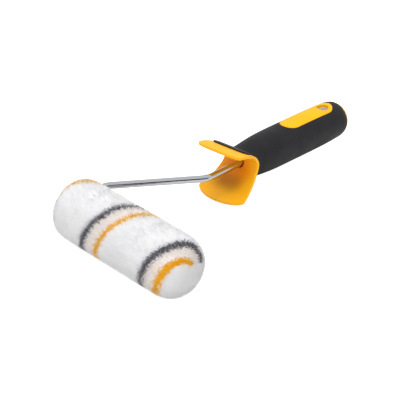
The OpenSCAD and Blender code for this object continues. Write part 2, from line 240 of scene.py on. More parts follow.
class Graph:
    """Adds and links nodes in a tree with short calls."""

    def __init__(self, tree: Tree) -> None:
        """Keeps the tree.

        Args:
            tree: The material's or group's node tree.
        """
        self.tree = tree

    def add(self, kind: str, inputs: Optional[dict] = None, **settings: object) -> Node:
        """Adds a node, sets its properties and fills its inputs.

        Args:
            kind: The node's type name.
            inputs: Values or sockets by input name or number.
            **settings: Properties of the node.

        Returns:
            The new node.
        """
        node = self.tree.nodes.new(kind)
        for key, value in settings.items():
            setattr(node, key, value)
        for key, value in (inputs or {}).items():
            if isinstance(value, Socket):
                self.tree.links.new(value, node.inputs[key])
            else:
                node.inputs[key].default_value = value
        return node

    def math(self, operation: str, a: object, b: object = 0.0, c: object = 0.0) -> Socket:
        """The result of a Math node.

        Args:
            operation: The node's operation.
            a: First value or socket.
            b: Second value or socket.
            c: Third value or socket.

        Returns:
            The result's socket.
        """
        return self.add("ShaderNodeMath", {0: a, 1: b, 2: c}, operation=operation).outputs[0]

    def noise(self, vector: object, scale: float, detail: float = 2.0, rough: float = 0.5) -> Socket:
        """The value of a Noise Texture.

        Args:
            vector: The coordinates' socket.
            scale: Cycles in a metre.
            detail: Octaves.
            rough: Strength of the finer octaves.

        Returns:
            The noise's value socket, around one half.
        """
        inputs = {"Vector": vector, "Scale": scale, "Detail": detail, "Roughness": rough}
        return self.add("ShaderNodeTexNoise", inputs).outputs[0]

    def ramp(
        self, value: object, low: float, high: float, to_low: float = 0.0, to_high: float = 1.0
    ) -> Socket:
        """A value mapped smoothly from one range to another and clamped.

        Args:
            value: The socket to map.
            low: The value that becomes to_low.
            high: The value that becomes to_high.
            to_low: Result at and below low.
            to_high: Result at and above high.

        Returns:
            The mapped socket.
        """
        inputs = {"Value": value, "From Min": low, "From Max": high, "To Min": to_low, "To Max": to_high}
        return self.add("ShaderNodeMapRange", inputs, interpolation_type="SMOOTHSTEP").outputs[0]

    def mix(self, share: object, a: object, b: object) -> Socket:
        """A mix of two colours.

        Args:
            share: How much of the second colour, as a value or socket.
            a: First colour or socket.
            b: Second colour or socket.

        Returns:
            The colour's socket.
        """
        node = self.add("ShaderNodeMix", data_type="RGBA")
        for index, value in ((0, share), (6, a), (7, b)):
            if isinstance(value, Socket):
                self.tree.links.new(value, node.inputs[index])
            else:
                node.inputs[index].default_value = value
        return node.outputs[2]

    def object_coords(self, scale: Triple = (1, 1, 1), offset: Vector = Vector((0, 0, 0))) -> Socket:
        """Object coordinates, moved and stretched.

        Args:
            scale: Stretch along each axis.
            offset: The point that becomes the zero.

        Returns:
            The vector's socket.
        """
        coords = self.add("ShaderNodeTexCoord").outputs["Object"]
        moved = self.add("ShaderNodeVectorMath", {0: coords, 1: tuple(-offset)}, operation="ADD").outputs[0]
        return self.add("ShaderNodeVectorMath", {0: moved, 1: scale}, operation="MULTIPLY").outputs[0]

    def split(self, vector: Socket) -> tuple[Socket, ...]:
        """The three parts of a vector.

        Args:
            vector: The vector's socket.

        Returns:
            The X, Y and Z sockets.
        """
        return tuple(self.add("ShaderNodeSeparateXYZ", {0: vector}).outputs)


def rgb(red: int, green: int, blue: int) -> Colour:
    """A linear colour from 8-bit display values.

    Args:
        red: Red, from 0 to 255.
        green: Green, from 0 to 255.
        blue: Blue, from 0 to 255.

    Returns:
        The linear colour with full alpha.
    """
    parts = [value / 255 for value in (red, green, blue)]
    linear = [v / 12.92 if v <= 0.04045 else ((v + 0.055) / 1.055) ** 2.4 for v in parts]
    return (*linear, 1.0)


# ---- Shared effects ----


class Effect:
    """Shader node groups that several finishes share."""

    @staticmethod
    def start(
        name: str, inputs: dict[str, tuple[str, float]], outputs: dict[str, str]
    ) -> tuple[Tree, Graph, Node, Node]:
        """Makes an empty group with its sockets.

        Args:
            name: The group's name.
            inputs: Each input's socket type and first value.
            outputs: Each output's socket type.

        Returns:
            The group, its graph, its input node and its output node.
        """
        tree = bpy.data.node_groups.new(name, "ShaderNodeTree")
        for label, (kind, value) in inputs.items():
            socket = tree.interface.new_socket(label, in_out="INPUT", socket_type=kind)
            if kind == "NodeSocketFloat":
                socket.default_value = value
        for label, kind in outputs.items():
            tree.interface.new_socket(label, in_out="OUTPUT", socket_type=kind)
        graph = Graph(tree)
        return tree, graph, graph.add("NodeGroupInput"), graph.add("NodeGroupOutput")

    @staticmethod
    def moulded_grain() -> Tree:
        """Fine sparked grain of a moulded surface, with broad faint mottling.

        Returns:
            The group, with outputs Height and Mottle.
        """
        tree, graph, given, result = Effect.start(
            "moulded_grain",
            {
                "Vector": ("NodeSocketVector", 0.0),
                "Grain": ("NodeSocketFloat", 1500.0),
                "Patch": ("NodeSocketFloat", 60.0),
            },
            {"Height": "NodeSocketFloat", "Mottle": "NodeSocketFloat"},
        )
        vector = given.outputs["Vector"]
        inputs = {"Vector": vector, "Scale": given.outputs["Grain"]}
        cells = graph.add("ShaderNodeTexVoronoi", inputs, feature="SMOOTH_F1")
        fine = graph.noise(vector, 900.0, 3.0, 0.6)
        sparks = graph.math("MULTIPLY", cells.outputs["Distance"], 0.6)
        height = graph.math("ADD", sparks, graph.math("MULTIPLY", fine, 0.5))
        broad = graph.noise(vector, given.outputs["Patch"], 3.0)
        graph.tree.links.new(height, result.inputs["Height"])
        graph.tree.links.new(graph.ramp(broad, 0.3, 0.7), result.inputs["Mottle"])
        return tree

    @staticmethod
    def handling_marks() -> Tree:
        """Fine scratches and faint smears left by use.

        Returns:
            The group, with outputs Scratches and Smears.
        """
        tree, graph, given, result = Effect.start(
            "handling_marks",
            {"Vector": ("NodeSocketVector", 0.0), "Scale": ("NodeSocketFloat", 300.0)},
            {"Scratches": "NodeSocketFloat", "Smears": "NodeSocketFloat"},
        )
        vector = given.outputs["Vector"]
        inputs = {"Vector": vector, "Scale": given.outputs["Scale"], "Detail": 4.0, "Distortion": 2.0}
        warped = graph.add("ShaderNodeTexNoise", inputs).outputs[0]
        broad = graph.noise(vector, 45.0, 4.0, 0.6)
        ridge = graph.math("ABSOLUTE", graph.math("SUBTRACT", warped, 0.5))
        graph.tree.links.new(graph.ramp(ridge, 0.0, 0.03, 1.0, 0.0), result.inputs["Scratches"])
        graph.tree.links.new(graph.ramp(broad, 0.4, 0.75), result.inputs["Smears"])
        return tree


GRAIN = Effect.moulded_grain()
MARKS = Effect.handling_marks()


# ---- Finishes ----


class Finish:
    """A material with its Principled shader, filled in by each kind of finish."""

    def start(self, name: str) -> tuple[Material, Graph, Node]:
        """Makes the material and its shader.

        Args:
            name: The material's name.

        Returns:
            The material, its graph and its Principled node.
        """
        material = bpy.data.materials.new(name)
        material.use_nodes = True
        graph = Graph(material.node_tree)
        shader = next(node for node in material.node_tree.nodes if node.type == "BSDF_PRINCIPLED")
        return material, graph, shader

    def group(self, graph: Graph, tree: Tree, **inputs: object) -> Node:
        """Places a shared effect.

        Args:
            graph: The material's graph.
            tree: The effect's node group.
            **inputs: Values or sockets for the group's inputs.

        Returns:
            The group node.
        """
        return graph.add("ShaderNodeGroup", inputs, node_tree=tree)

    def bump(self, graph: Graph, shader: Node, height: Socket, strength: float, depth: float) -> None:
        """Adds relief to the shader.

        Args:
            graph: The material's graph.
            shader: The Principled node.
            height: The relief's socket.
            strength: Share of the relief.
            depth: Depth of the relief in millimetres.
        """
        node = graph.add("ShaderNodeBump", {"Height": height, "Strength": strength, "Distance": depth * MM})
        graph.tree.links.new(node.outputs[0], shader.inputs["Normal"])


@dataclass(frozen=True)
class Shade:
    """A place where shade is painted into a finish, darkening it towards another colour.

    The place is in millimetres from the middle of the roller. The colour is full inside the inner
    radius and gone outside the outer one.
    """

    spot: Triple
    inner: float
    outer: float
    colour: Colour
    share: float


@dataclass(frozen=True)
class Moulded(Finish):
    """Moulded plastic or rubber with a fine grain, and with painted shade at the given places."""

    name: str
    colour: Colour
    darker: Colour
    roughness: float
    spread: float
    grain: float = 1500.0
    depth: float = 0.03
    coat: float = 0.0
    specular: float = 0.5
    rib_pitch: float = 0.0
    # Painted shade: places where the colour is darkened to stand in for shade.
    painted_shades: tuple[Shade, ...] = ()

    def build(self) -> Material:
        """Makes the material.

        Returns:
            The new material.
        """
        material, graph, shader = self.start(self.name)
        coords = graph.object_coords()
        grain = self.group(graph, GRAIN, Vector=coords, Grain=self.grain)
        marks = self.group(graph, MARKS, Vector=coords)
        tone = graph.mix(graph.math("MULTIPLY", grain.outputs["Mottle"], 0.5), self.colour, self.darker)
        # Painted shade is mixed into the colour at the given places.
        for shade in self.painted_shades:
            tone = self.paint_shade(graph, coords, tone, shade)
        graph.tree.links.new(tone, shader.inputs["Base Color"])
        worn = graph.math("MULTIPLY", marks.outputs["Smears"], self.spread)
        fine = graph.math("MULTIPLY", grain.outputs["Mottle"], self.spread)
        rough = graph.math("ADD", graph.math("ADD", worn, fine), self.roughness)
        graph.tree.links.new(rough, shader.inputs["Roughness"])
        shader.inputs["Coat Weight"].default_value = self.coat
        shader.inputs["Coat Roughness"].default_value = 0.18
        shader.inputs["Specular IOR Level"].default_value = self.specular
        height = grain.outputs["Height"]
        if self.rib_pitch:
            height = graph.math("ADD", height, self.ribs(graph, coords))
        self.bump(graph, shader, height, 0.5, self.depth)
        return material

    def paint_shade(self, graph: Graph, coords: Socket, tone: Socket, shade: Shade) -> Socket:
        """Mixes a painted shade into the colour round its place.

        Args:
            graph: The material's graph.
            coords: The coordinates' socket.
            tone: The colour so far.
            shade: The shade to add.

        Returns:
            The mixed colour's socket.
        """
        spot = tuple(place(*shade.spot))
        away = graph.add("ShaderNodeVectorMath", {0: coords, 1: spot}, operation="DISTANCE").outputs["Value"]
        share = graph.ramp(away, shade.inner * MM, shade.outer * MM, shade.share, 0.0)
        return graph.mix(share, tone, shade.colour)

    def ribs(self, graph: Graph, coords: Socket) -> Socket:
        """Shallow ribs across the handle, which come and go in patches.

        Args:
            graph: The material's graph.
            coords: The coordinates' socket.

        Returns:
            The ribs' height.
        """
        along = graph.split(coords)[1]
        wave = graph.math("SINE", graph.math("MULTIPLY", along, 2 * math.pi / (self.rib_pitch * MM)))
        patches = graph.ramp(graph.noise(coords, 38.0, 1.0), 0.42, 0.6, 0.25, 1.0)
        return graph.math("MULTIPLY", wave, patches)


@dataclass(frozen=True)
class Plated(Finish):
    """Bright plated steel with faint drawing lines and smears."""

    name: str
    colour: Colour
    roughness: float

    def build(self) -> Material:
        """Makes the material.

        Returns:
            The new material.
        """
        material, graph, shader = self.start(self.name)
        coords = graph.object_coords()
        marks = self.group(graph, MARKS, Vector=coords, Scale=420.0)
        smeared = graph.math("MULTIPLY", marks.outputs["Smears"], 0.25)
        tone = graph.mix(smeared, self.colour, rgb(196, 200, 208))
        graph.tree.links.new(tone, shader.inputs["Base Color"])
        shader.inputs["Metallic"].default_value = 1.0
        rough = graph.math("ADD", graph.math("MULTIPLY", marks.outputs["Smears"], 0.08), self.roughness)
        graph.tree.links.new(rough, shader.inputs["Roughness"])
        self.bump(graph, shader, marks.outputs["Scratches"], 0.12, 0.01)
        return material


@dataclass(frozen=True)
class Knitted(Finish):
    """Knitted backing cloth."""

    name: str

    def build(self) -> Material:
        """Makes the material.

        Returns:
            The new material.
        """
        material, graph, shader = self.start(self.name)
        coords = graph.object_coords()
        inputs = {"Vector": coords, "Scale": 420.0, "Distortion": 2.0}
        wale = graph.add("ShaderNodeTexWave", inputs, wave_type="BANDS")
        tone = graph.mix(wale.outputs["Fac"], rgb(214, 208, 196), rgb(236, 232, 224))
        graph.tree.links.new(tone, shader.inputs["Base Color"])
        shader.inputs["Roughness"].default_value = 0.9
        self.bump(graph, shader, wale.outputs["Fac"], 0.6, 0.1)
        return material


@dataclass(frozen=True)
class StripedPile(Finish):
    """White pile with a grey and an orange yarn laid in a long spiral.

    The spiral is read from the attribute "along", which is the length along the sleeve's outline in
    metres, and from the angle round the roller axis. Both stripes end at a seam on the closed end.
    """

    name: str
    pitch: float = 69.0
    grey_start: float = 8.6
    orange_start: float = 25.0
    grey_half: float = 2.9
    orange_half: float = 2.4
    wander: float = 3.0

    def turn(self, graph: Graph, along: Socket, angle: Socket, start: float) -> Socket:
        """Distance from the nearest turn of a yarn, in millimetres, with its sign.

        Args:
            graph: The material's graph.
            along: Length along the sleeve in millimetres.
            angle: Angle round the axis in radians.
            start: Where the yarn crosses angle zero, in millimetres.

        Returns:
            The distance's socket.
        """
        wound = graph.math("MULTIPLY_ADD", angle, self.pitch / (2 * math.pi), along)
        turns = graph.math("DIVIDE", graph.math("SUBTRACT", wound, start), self.pitch)
        part = graph.math("SUBTRACT", graph.math("FRACT", graph.math("ADD", turns, 0.5)), 0.5)
        return graph.math("MULTIPLY", part, self.pitch)

    def build(self) -> Material:
        """Makes the material.

        Returns:
            The new material.
        """
        material, graph, shader = self.start(self.name)
        coords = graph.object_coords(offset=AXIS)
        _, back, up = graph.split(coords)
        angle = graph.math("ARCTAN2", up, back)
        stored = graph.add("ShaderNodeAttribute", attribute_name="along").outputs["Fac"]
        strand = graph.add("ShaderNodeAttribute", attribute_name="strand").outputs["Fac"]
        wavy = graph.math("SUBTRACT", graph.noise(coords, 28.0, 1.0), 0.5)
        drift = graph.math("MULTIPLY", wavy, 2 * self.wander)
        ragged = graph.math("MULTIPLY", graph.math("SUBTRACT", strand, 0.5), 3.6)
        streak = graph.noise(graph.object_coords((0.3, 1.0, 1.0)), 800.0, 2.0)
        tufted = graph.math("MULTIPLY_ADD", graph.math("SUBTRACT", streak, 0.5), 9.0, ragged)
        along = graph.math("ADD", graph.math("MULTIPLY", stored, 1000.0), graph.math("ADD", drift, tufted))
        grey = graph.math("ABSOLUTE", self.turn(graph, along, angle, self.grey_start))
        orange_side = self.turn(graph, along, angle, self.orange_start)
        orange = graph.math("ABSOLUTE", orange_side)
        kept = self.seam(graph, graph.math("MULTIPLY", stored, 1000.0), angle)
        wider = graph.ramp(along, 40.0, 62.0, 0.0, 0.9)
        grey_edge = graph.math("SUBTRACT", grey, wider)
        orange_edge = graph.math("SUBTRACT", orange, wider)
        grey_share = graph.ramp(grey_edge, self.grey_half - 1.3, self.grey_half + 1.5, 1.0, 0.0)
        orange_share = graph.ramp(orange_edge, self.orange_half - 1.2, self.orange_half + 1.4, 1.0, 0.0)
        grey_mask = graph.math("MULTIPLY", grey_share, kept)
        orange_mask = graph.math("MULTIPLY", orange_share, kept)
        before = graph.ramp(orange_side, -15.0, -11.0)
        between = graph.math("MULTIPLY", before, graph.ramp(orange_side, 1.0, 8.0, 1.0, 0.0))
        warm_mask = graph.math("MULTIPLY", graph.math("MULTIPLY", between, 0.9), kept)
        cool_mask = graph.math("MULTIPLY", graph.ramp(grey, 2.5, 8.5, 0.6, 0.0), kept)
        tint = graph.noise(coords, 700.0, 2.0)
        white = graph.mix(strand, rgb(243, 243, 245), rgb(252, 252, 252))
        warm_share = graph.math("MULTIPLY", warm_mask, graph.ramp(streak, 0.4, 0.62))
        cool_share = graph.math("MULTIPLY", cool_mask, graph.ramp(streak, 0.42, 0.6, 1.0, 0.0))
        warmed = graph.mix(warm_share, white, rgb(242, 224, 208))
        cooled = graph.mix(cool_share, warmed, rgb(200, 192, 196))
        yarn_grey = graph.mix(graph.ramp(tint, 0.35, 0.65), rgb(66, 67, 78), rgb(120, 120, 126))
        yarn_orange = graph.mix(graph.ramp(tint, 0.35, 0.65), rgb(238, 164, 10), rgb(246, 192, 44))
        with_grey = graph.mix(grey_mask, cooled, yarn_grey)
        graph.tree.links.new(graph.mix(orange_mask, with_grey, yarn_orange), shader.inputs["Base Color"])
        shader.inputs["Roughness"].default_value = 0.92
        shader.inputs["Specular IOR Level"].default_value = 0.15
        shader.inputs["Sheen Weight"].default_value = 0.15
        return material

    def seam(self, graph: Graph, along: Socket, angle: Socket) -> Socket:
        """One where the yarns show, and zero past the seam on the closed end.

        Args:
            graph: The material's graph.
            along: Length along the sleeve in millimetres.
            angle: Angle round the axis in radians.

        Returns:
            The mask's socket.
        """
        curl = graph.ramp(along, 73.0, 84.0, math.radians(18.0), math.radians(100.0))
        past = graph.ramp(graph.math("SUBTRACT", curl, angle), -0.05, 0.1)
        on_end = graph.ramp(along, 66.0, 68.0)
        below = graph.ramp(angle, -1.2, -1.0)
        hidden = graph.math("MULTIPLY", graph.math("MULTIPLY", past, on_end), below)
        centre = graph.ramp(along, 81.0, 84.0)
        return graph.math("SUBTRACT", 1.0, graph.math("MAXIMUM", hidden, centre))


class Shelf:
    """The finished materials, by slot."""

    def __init__(self) -> None:
        """Builds one material for each slot."""
        orange, deep = rgb(246, 178, 16), rgb(243, 171, 12)
        # Painted shade in the guard's bowl: a deeper orange round the hollow by the wire's hole, and a brown
        # painted shadow below the wire.
        painted_bowl_shade = (
            Shade((-27.0, 141.0, -6.0), 9.0, 23.0, rgb(233, 128, 2), 0.75),
            Shade((-32.0, 132.0, -15.5), 0.0, 14.0, rgb(140, 92, 3), 0.6),
            Shade((-20.0, 133.0, -16.0), 0.0, 15.0, rgb(140, 92, 3), 0.6),
        )
        self.by_slot = {
            Slot.WIRE: Plated("bright_wire", rgb(206, 208, 213), 0.09).build(),
            Slot.ORANGE: Moulded(
                "orange_moulding", orange, deep, 0.36, 0.06, specular=0.22, painted_shades=painted_bowl_shade
            ).build(),
            Slot.GRIP: Moulded(
                "black_soft_grip",
                rgb(27, 27, 30),
                rgb(21, 21, 24),
                roughness=0.5,
                spread=0.08,
                grain=1100.0,
                depth=0.09,
                specular=0.35,
                rib_pitch=3.0,
            ).build(),
            Slot.WHITE: Moulded("white_moulding", rgb(240, 240, 238), rgb(232, 232, 228), 0.42, 0.05).build(),
            Slot.DARK: Moulded("dark_bearing", rgb(46, 46, 50), rgb(38, 38, 42), 0.4, 0.05).build(),
            Slot.CORE: Moulded("core_extrusion", rgb(228, 222, 208), rgb(216, 208, 192), 0.5, 0.05).build(),
            Slot.BACKING: Knitted("knitted_backing").build(),
            Slot.PILE: StripedPile("striped_pile").build(),
        }

    def dress(self, piece: Object, slot: Slot) -> None:
        """Puts a slot's material on a piece as its only one.

        Args:
            piece: The object.
            slot: The slot whose finish it takes.
        """
        piece.data.materials.clear()
        piece.data.materials.append(self.by_slot[slot])

    def dress_frame(self) -> None:
        """Puts the right finish on every node carried over from the frame."""
        slots = {row["node"]: Slot(row["material_slot"]) for row in frame["record"]["subparts"]}
        for name, node in frame["nodes"].items():
            for slot in node.material_slots:
                slot.material = self.by_slot[slots[name]]
            if not node.material_slots:
                node.data.materials.append(self.by_slot[slots[name]])


# ---- The sleeve ----


@dataclass
class Sleeve:
    """The pile over the sleeve: a soft base that carries thousands of small tufts."""

    shelf: Shelf
    pile_r: float = 26.0
    open_x: float = -69.0
    closed_x: float = 70.5
    half_core: float = 55.0
    mouth_r: float = 9.5
    mouth_lip_r: float = 3.0
    open_round: float = 11.0
    closed_round: float = 20.0
    nap: float = 1.9
    row_step: float = 0.95
    turn_steps: int = 200
    tuft_step: float = 0.8
    tuft_length: float = 2.5
    split_x: float = 20.0

    def sections(self) -> list[tuple[float, float, Callable[[float], Station]]]:
        """The outline from the mouth to the middle of the closed end.

        Returns:
            For each stretch, where it starts along the outline, where it ends, and a function from
            that length to the point's x, radius and outward direction (x, r). Lengths agree with x
            on the barrel.
        """
        lip, far, near = self.mouth_lip_r, self.open_round, self.closed_round
        corner_x, dome_x = self.open_x + far, self.closed_x - near
        quarter = math.pi / 2
        flat = self.pile_r - far - self.mouth_r - lip
        corner_s = corner_x - far * quarter
        flat_s = corner_s - flat
        lip_s = flat_s - lip * quarter
        bore_s = lip_s - (-self.half_core - self.open_x - lip)
        dome_s = dome_x + near * quarter

        def bore(s: float) -> Station:
            """The wall of the mouth, as far in as the core."""
            return self.open_x + lip + (lip_s - s), self.mouth_r, 0.0, -1.0

        def rim(s: float) -> Station:
            """The rounded lip of the mouth."""
            sine, cosine = math.sin((s - lip_s) / lip), math.cos((s - lip_s) / lip)
            return self.open_x + lip - lip * sine, self.mouth_r + lip - lip * cosine, -sine, -cosine

        def face(s: float) -> Station:
            """The flat ring round the mouth."""
            return self.open_x, self.mouth_r + lip + (s - flat_s), -1.0, 0.0

        def corner(s: float) -> Station:
            """The rounding of the open end."""
            sine, cosine = math.sin((s - corner_s) / far), math.cos((s - corner_s) / far)
            return corner_x - far * cosine, self.pile_r - far + far * sine, -cosine, sine

        def barrel(s: float) -> Station:
            """The straight side of the roller."""
            return s, self.pile_r, 0.0, 1.0

        def dome(s: float) -> Station:
            """The rounding of the closed end."""
            sine, cosine = math.sin((s - dome_x) / near), math.cos((s - dome_x) / near)
            return dome_x + near * sine, self.pile_r - near + near * cosine, sine, cosine

        def end(s: float) -> Station:
            """The flat middle of the closed end."""
            return self.closed_x, max(0.0, self.pile_r - near - (s - dome_s)), 1.0, 0.0

        return [
            (bore_s, lip_s, bore),
            (lip_s, flat_s, rim),
            (flat_s, corner_s, face),
            (corner_s, corner_x, corner),
            (corner_x, dome_x, barrel),
            (dome_x, dome_s, dome),
            (dome_s, dome_s + self.pile_r - near, end),
        ]

    def stations(self, step: float) -> list[tuple[float, float, float, float, float]]:
        """Evenly spaced points along the whole outline.

        Args:
            step: Distance between points in millimetres.

        Returns:
            For each point its length along the outline, x, radius and outward direction.
        """
        points = []
        for start, finish, curve in self.sections():
            count = max(1, round((finish - start) / step))
            for i in range(count):
                s = start + (finish - start) * i / count
                points.append((s, *curve(s)))
        start, finish, curve = self.sections()[-1]
        points.append((finish, *curve(finish)))
        return points

    def build(self) -> None:
        """Builds the base and both fields of tufts, and hides the plain solids."""
        base = self.base()
        fields = self.tufts()
        for piece in (base, *fields):
            self.shelf.dress(piece, Slot.PILE)
        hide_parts("pile_cover", "pile_end")

    def base(self) -> Object:
        """The lumpy knitted surface that the tufts stand on.

        Returns:
            The new piece.
        """
        bm = bmesh.new()
        points = self.stations(self.row_step)
        outline = [place(x - nx * self.nap, 0, max(0.0, r - nr * self.nap)) for _, x, r, nx, nr in points]
        revolve(bm, outline, AXIS, Vector((1, 0, 0)), self.turn_steps)
        lengths = np.array([p[0] for p in points])
        sites = np.array([[p[1] - p[3] * self.nap, p[2] - p[4] * self.nap] for p in points])
        layer = bm.verts.layers.float.new("along")
        strand = bm.verts.layers.float.new("strand")
        for vert in bm.verts:
            local = (vert.co - AXIS) / MM
            here = np.array([local.x, math.hypot(local.y, local.z)])
            vert[layer] = float(lengths[np.argmin(((sites - here) ** 2).sum(axis=1))]) * MM
            vert[strand] = 0.5
        bm.normal_update()
        for vert in bm.verts:
            lump = noise.noise(vert.co * 160.0) * 0.15 + noise.noise(vert.co * 700.0) * 0.1
            vert.co += vert.normal * lump * MM
        return finish_mesh(bm, "pile_base", Body.SLEEVE)

    def tuft(self) -> tuple[np.ndarray, list[tuple[int, ...]]]:
        """One small tuft of yarn, one unit tall along Z.

        Returns:
            Its points and faces.
        """
        bm = bmesh.new()
        bmesh.ops.create_cone(bm, cap_ends=True, segments=4, radius1=0.26, radius2=0.07, depth=1.0)
        bmesh.ops.translate(bm, verts=bm.verts, vec=(0, 0, 0.5))
        foot = [face for face in bm.faces if face.normal.z < -0.9]
        bmesh.ops.delete(bm, geom=foot, context="FACES_ONLY")
        bm.verts.ensure_lookup_table()
        points = np.array([vert.co[:] for vert in bm.verts])
        faces = [tuple(vert.index for vert in face.verts) for face in bm.faces]
        bm.free()
        return points, faces

    def roots(self) -> np.ndarray:
        """Where the tufts stand, in rings along the outline.

        Returns:
            One row a tuft: length along the outline, x, radius, outward x, outward r and angle.
        """
        chance = np.random.default_rng(SEED)
        rows = []
        for s, x, r, nx, nr in self.stations(self.tuft_step):
            count = max(1, int(2 * math.pi * r / self.tuft_step))
            angles = (np.arange(count) + chance.uniform(0, 1)) * 2 * math.pi / count
            angles += chance.uniform(-0.4, 0.4, count) * 2 * math.pi / count
            slide = chance.uniform(-0.4, 0.4, count) * self.tuft_step
            ring = np.empty((count, 6))
            ring[:, 0] = s + slide
            ring[:, 1] = x + slide * nr
            ring[:, 2] = np.maximum(0.0, r - slide * nx)
            ring[:, 3] = nx
            ring[:, 4] = nr
            ring[:, 5] = angles
            rows.append(ring)
        return np.concatenate(rows)

    def tufts(self) -> list[Object]:
        """The tufts on the barrel and those towards the closed end.

        Returns:
            The two new pieces.
        """
        rows = self.roots()
        far = rows[:, 1] < self.split_x
        return [
            self.field("pile_tufts_open_side", rows[far], SEED + 1),
            self.field("pile_tufts_closed_side", rows[~far], SEED + 2),
        ]

    def field(self, name: str, rows: np.ndarray, seed: int) -> Object:
        """Copies the tuft to every root, leaning as its neighbours do.

        Args:
            name: The piece's name.
            rows: The roots, as roots() gives them.
            seed: Seed of the random draws.

        Returns:
            The new piece.
        """
        chance = np.random.default_rng(seed)
        shape, faces = self.tuft()
        count = len(rows)
        s, x, r, nx, nr, angle = rows.T
        ca, sa = np.cos(angle), np.sin(angle)
        normal = np.stack([nx, nr * ca, nr * sa], axis=1)
        forward = np.stack([nr, -nx * ca, -nx * sa], axis=1)
        around = np.stack([np.zeros(count), -sa, ca], axis=1)
        depth = self.nap + 0.15
        root = np.stack([x, r * ca, r * sa], axis=1) - normal * depth
        spots = [Vector(point) * 0.16 for point in root]
        aside = Vector((40, 0, 0))
        swirl = np.array([[noise.noise(spot), noise.noise(spot + aside)] for spot in spots])
        lean_forward = swirl[:, 0] * 0.22 + chance.normal(0, 0.24, count)
        lean_around = swirl[:, 1] * 0.22 + chance.normal(0, 0.24, count)
        up = normal + forward * lean_forward[:, None] + around * lean_around[:, None]
        up /= np.linalg.norm(up, axis=1)[:, None]
        side = np.cross(up, forward)
        side /= np.linalg.norm(side, axis=1)[:, None]
        other = np.cross(up, side)
        tall = self.tuft_length * chance.uniform(0.74, 1.12, count)
        tall = np.minimum(tall, (depth + 0.6) / np.maximum(0.35, (up * normal).sum(axis=1)))
        wide = chance.uniform(0.8, 1.3, count)
        points = (
            root[:, None, :]
            + side[:, None, :] * (shape[None, :, 0:1] * wide[:, None, None])
            + other[:, None, :] * (shape[None, :, 1:2] * wide[:, None, None])
            + up[:, None, :] * (shape[None, :, 2:3] * tall[:, None, None])
        )
        places = points.reshape(-1, 3) * MM + np.array(AXIS)
        size = len(shape)
        corners = np.concatenate([np.array(face) for face in faces])
        lengths = np.array([len(face) for face in faces])
        mesh = bpy.data.meshes.new(name)
        mesh.vertices.add(count * size)
        mesh.vertices.foreach_set("co", places.astype(np.float32).ravel())
        loops = (corners[None, :] + (np.arange(count) * size)[:, None]).ravel()
        mesh.loops.add(len(loops))
        mesh.loops.foreach_set("vertex_index", loops.astype(np.int32))
        sizes = np.tile(lengths, count)
        mesh.polygons.add(len(sizes))
        mesh.polygons.foreach_set("loop_start", (np.cumsum(sizes) - sizes).astype(np.int32))
        mesh.polygons.foreach_set("use_smooth", np.ones(len(sizes), bool))
        mesh.update(calc_edges=True)
        for label, values in (("along", s * MM), ("strand", chance.uniform(0, 1, count))):
            attribute = mesh.attributes.new(label, "FLOAT", "POINT")
            attribute.data.foreach_set("value", np.repeat(values, size).astype(np.float32))
        stem = points - root[:, None, :]
        stem -= up[:, None, :] * (stem * up[:, None, :]).sum(axis=2, keepdims=True)
        soft = np.repeat(normal, size, axis=0) + 0.5 * stem.reshape(-1, 3)
        soft /= np.linalg.norm(soft, axis=1)[:, None]
        mesh.normals_split_custom_set_from_vertices([tuple(n) for n in soft])
        piece = bpy.data.objects.new(name, mesh)
        bpy.context.scene.collection.objects.link(piece)
        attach(piece, Body.SLEEVE.value)
        LOG.info("%s: %d tufts", name, count)
        return piece


# ---- The wire ----


